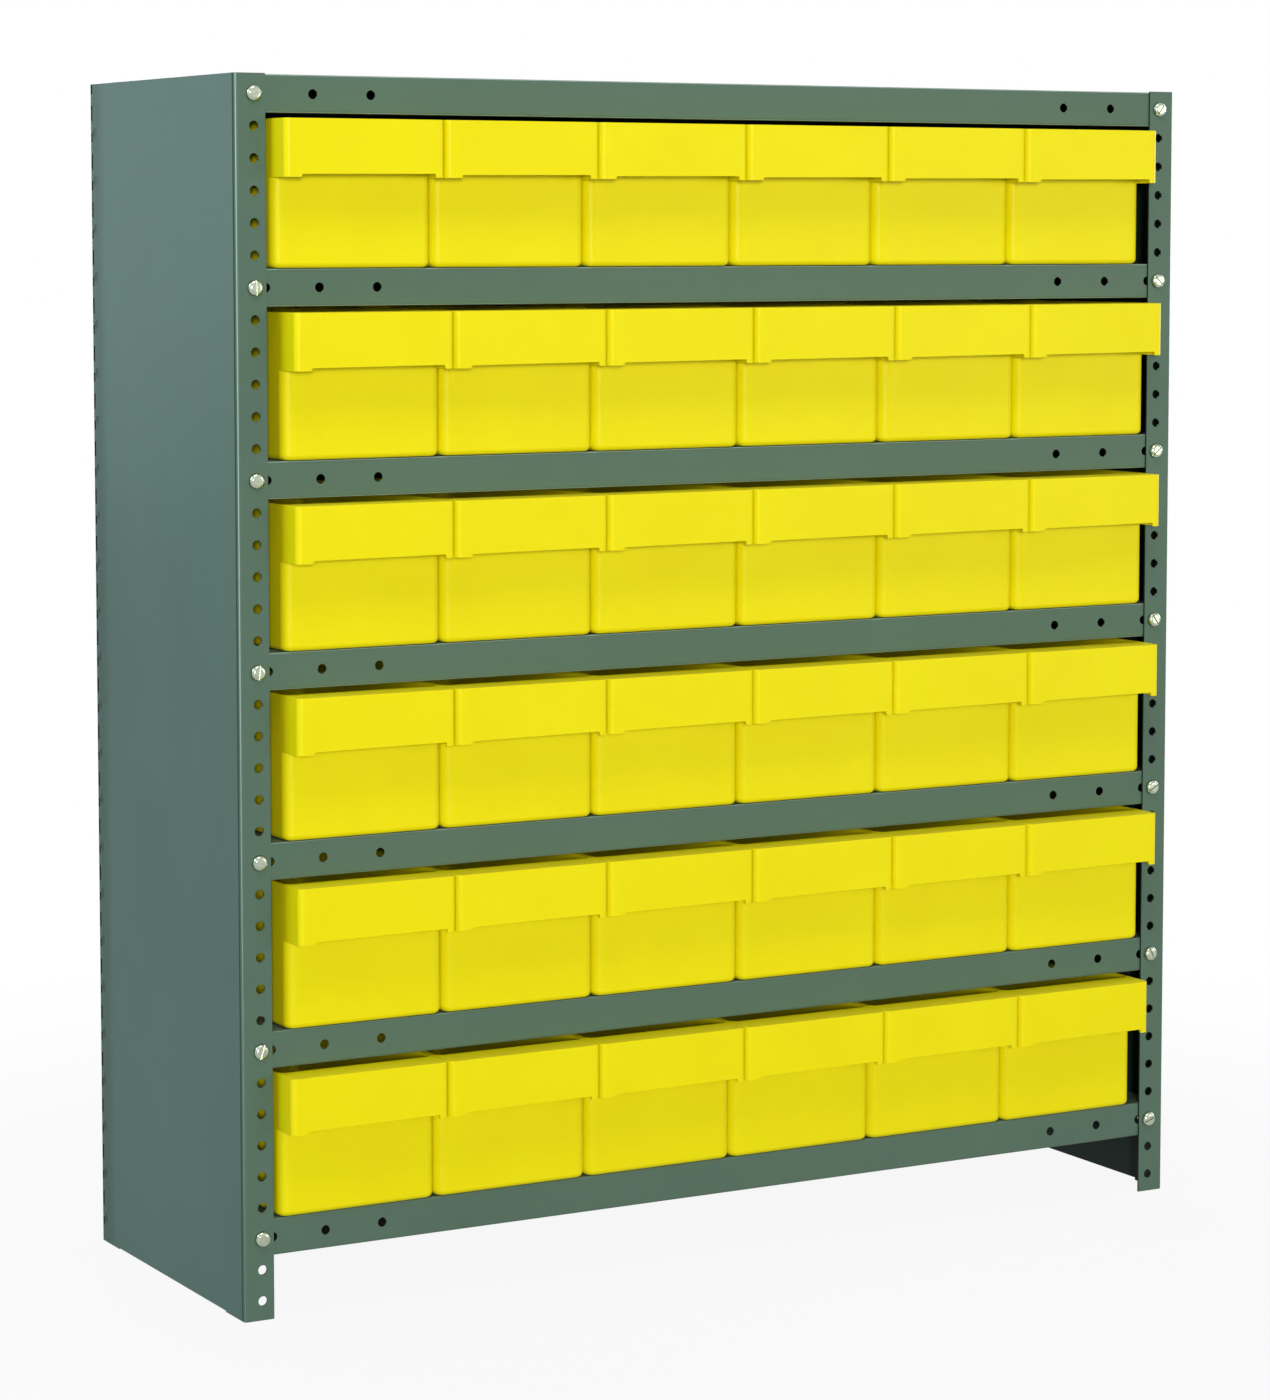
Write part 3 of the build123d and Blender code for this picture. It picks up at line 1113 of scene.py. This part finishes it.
def make_floor_paint():
    """A pale floor that looks white to the camera, but for a light shadow and the dark under the unit."""
    material, wire, shader = new_finish("floor_paint", Roughness=0.9)
    place = wire.add("ShaderNodeTexCoord", output="Object")
    away = wire.add("ShaderNodeVectorMath", {"operation": "LENGTH"}, {0: place}, output="Value")
    nearby = ramp(wire, away, SHADOW_REACH, SHADOW_FULL)
    aside = size_of(wire, part_of(wire, "Object", "X"))
    behind = size_of(wire, part_of(wire, "Object", "Y") - UNDER_MIDDLE)
    under = (ramp(wire, aside, UNDER_WIDTH, UNDER_WIDTH - UNDER_FADE)
             * ramp(wire, behind, UNDER_DEPTH, UNDER_CORE))
    feed(shader, Base_Color=blend_colours(wire, under, FLOOR_GREY, FLOOR_DARK))
    glow = wire.add("ShaderNodeEmission", None, {"Color": WHITE, "Strength": 1.0})
    body = Wire(wire.tree, shader.outputs[0])
    share = looked_at(wire) * (1 - nearby * SHADOW_SHARE) * (1 - under)
    mixed = wire.add("ShaderNodeMixShader", None, {0: share, 1: body, 2: glow})
    wire.tree.links.new(mixed.socket, wire.tree.nodes["Material Output"].inputs["Surface"])
    return material


floor.data.materials.append(make_floor_paint())
print("floor", FLOOR_SIZE, "m across")

# %% [markdown]
# Soft lights do the rest. The strongest stands behind the camera and gives the fronts their even yellow,
# and a weak one above lights the ledges of the pulls. Two cool ones at the left shade the side panel
# from front to rear. A warm fill from the right keeps the right ends of the rows from sinking. Two more,
# at the right and behind, light the sides that the picture doesn't show. All of them face the middle of
# the unit, and none is seen itself.

# %% Light the studio
WORLD_LIGHT = (0.20, 0.20, 0.20, 1)
WARM = (1.0, 0.98, 0.95)
AMBER = (1.0, 0.95, 0.80)
COOL = (0.80, 0.97, 1.0)
PALE = (0.96, 0.99, 1.0)
# Each light's name, place, width and height, watts and colour
LIGHTS = (
    ("front_light", (-4.1, -8.15, 1.6), (0.8, 1.2), 450, WARM),
    ("top_light", (-0.6, -1.6, 3.4), (1.6, 1.2), 29, WARM),
    ("left_light", (-2.4, 0.0, 1.9), (1.0, 1.0), 20, COOL),
    ("left_rear_light", (-2.1, 3.4, 1.3), (1.0, 1.6), 10, COOL),
    ("right_fill", (3.2, -4.1, 0.9), (2.2, 1.6), 48, AMBER),
    ("right_light", (3.4, 0.6, 1.3), (1.2, 1.6), 52, PALE),
    ("rear_light", (0.5, 4.2, 1.4), (1.6, 1.6), 74, PALE),
)

world = bpy.data.worlds.new("studio")
bpy.context.scene.world = world
world.use_nodes = True
backdrop = world.node_tree.nodes["Background"]
wire = Wire(world.node_tree)
feed(backdrop, Color=blend_colours(wire, looked_at(wire), WORLD_LIGHT, WHITE))


def soft_box(name, place, size, power, colour):
    """A soft light that faces the middle of the unit."""
    bpy.ops.object.light_add(type="AREA", location=place)
    lamp = bpy.context.object
    lamp.name = name
    lamp.data.shape = "RECTANGLE"
    lamp.data.size, lamp.data.size_y = size
    lamp.data.energy = power
    lamp.data.color = colour
    lamp.visible_camera = False
    lamp.rotation_euler = (unit_middle - Vector(place)).to_track_quat("-Z", "Y").to_euler()


unit_middle = (unit_low + unit_high) / 2
for light in LIGHTS:
    soft_box(*light)
print(len(LIGHTS), "soft lights and a white surround")

# %% [markdown]
# ## The view transform
#
# The visible model must fill the same box as the construction. The last step sets the standard view
# transform.

# %% Set the view transform
bpy.context.scene.view_settings.view_transform = "Standard"
